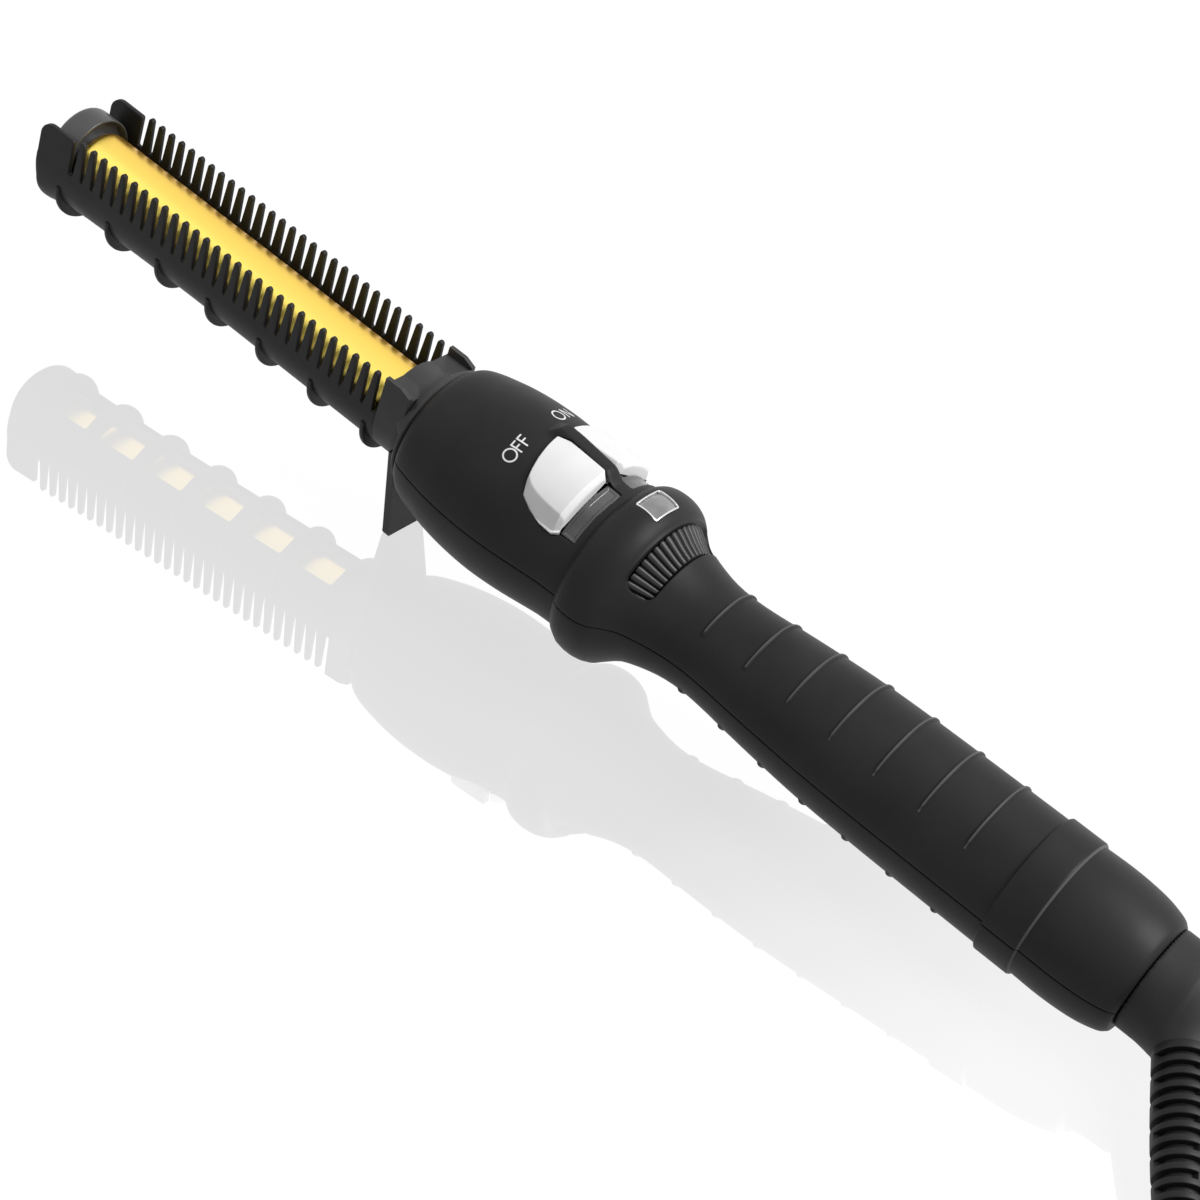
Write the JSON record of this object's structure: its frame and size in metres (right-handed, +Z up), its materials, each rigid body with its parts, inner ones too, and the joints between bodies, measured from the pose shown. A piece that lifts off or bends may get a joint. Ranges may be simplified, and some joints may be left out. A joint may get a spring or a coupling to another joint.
{
  "type": "heated hair styling comb",
  "caption": "Heated comb: gold barrel in a comb guard, turned handle with ON and OFF push buttons, a heat dial, a stand foot and a swivelling mains cord",
  "frame": {"origin": "centre of the bottom edge face of the stand foot, on the surface that the tool rests on", "axes": "+X from the comb's tip towards the cord end, +Z up. The tool's own axis lies in the XZ plane and drops towards +X by the resting slope. Teeth point up."},
  "size_m": [0.4956, 0.1277, 0.0556],
  "materials": {
    "guard_plastic": "moulded heat-resistant plastic, charcoal, fine satin",
    "gold_barrel": "gold ceramic coat, satin",
    "handle_plastic": "soft-touch plastic, near black",
    "button_white": "satin white with a fine spark texture",
    "window_grey": "smoked translucent plastic",
    "bezel_chrome": "polished rim",
    "dial_plastic": "gloss black, grooved",
    "cord_rubber": "matte black sheath",
    "tie_plastic": "black cord tie",
    "plug_plastic": "moulded plug",
    "blade_nickel": "nickel-plated brass",
    "steel": "plain steel",
    "aluminium": "extruded",
    "heater_ceramic": "ceramic and fibre, off-white",
    "component_plastic": "moulded component bodies",
    "board_green": "circuit board",
    "led_red": "clear epoxy",
    "contact_brass": "bare brass",
    "lead_red": "silicone wire insulation",
    "lead_white": "wire insulation"
  },
  "bodies": {
    "handle": {"comb_guard": "guard_plastic", "tip_cap": "guard_plastic", "collar": "guard_plastic", "foot": "guard_plastic", "barrel": "gold_barrel", "heat_spreader": "aluminium", "heater_plate": "heater_ceramic", "thermistor": "component_plastic", "barrel_insulator": "heater_ceramic", "upper_shell": "handle_plastic", "lower_shell": "handle_plastic", "control_board": "board_green", "switch_carrier": "component_plastic", "tact_switches": "component_plastic", "indicator_leds": "led_red", "board_screws": "steel", "potentiometer": "component_plastic", "off_spring": "steel", "on_spring": "steel", "off_window": "window_grey", "on_window": "window_grey", "power_lens": "window_grey", "lens_bezel": "bezel_chrome", "heater_leads": "lead_red", "supply_leads": "lead_white", "brush_holder": "component_plastic", "brush_blades": "contact_brass"},
    "off_push": {"off_button": "button_white"},
    "on_push": {"on_button": "button_white"},
    "dial": {"dial_wheel": "dial_plastic", "dial_shaft": "steel"},
    "swivel": {"swivel_elbow": "handle_plastic", "slip_rings": "contact_brass", "strain_relief": "cord_rubber", "cord_tube": "cord_rubber", "cord_coil": "cord_rubber", "cord_tie": "tie_plastic", "plug_body": "plug_plastic", "plug_blades": "blade_nickel"}
  },
  "joints": [
    {"name": "off_press", "type": "slide", "parent": "handle", "child": "off_push", "axis": [-0.0682, 0.515, -0.8544], "range_m": [0, 0.0014], "stiffness_N_per_m": 1500, "springref_m": -0.0006, "deforming": ["off_spring"]},
    {"name": "on_press", "type": "slide", "parent": "handle", "child": "on_push", "axis": [-0.0682, -0.515, -0.8544], "range_m": [0, 0.0014], "stiffness_N_per_m": 1500, "springref_m": -0.0006, "deforming": ["on_spring"]},
    {"name": "dial_turn", "type": "hinge", "parent": "handle", "child": "dial", "pos_m": [0.07703, 0, 0.03117], "axis": [0.9968, 0, -0.0796], "range_deg": [-135, 135]},
    {"name": "cord_swivel", "type": "hinge", "parent": "handle", "child": "swivel", "pos_m": [0.2178, 0, 0.01641], "axis": [0.9968, 0, -0.0796], "continuous": true}
  ]
}
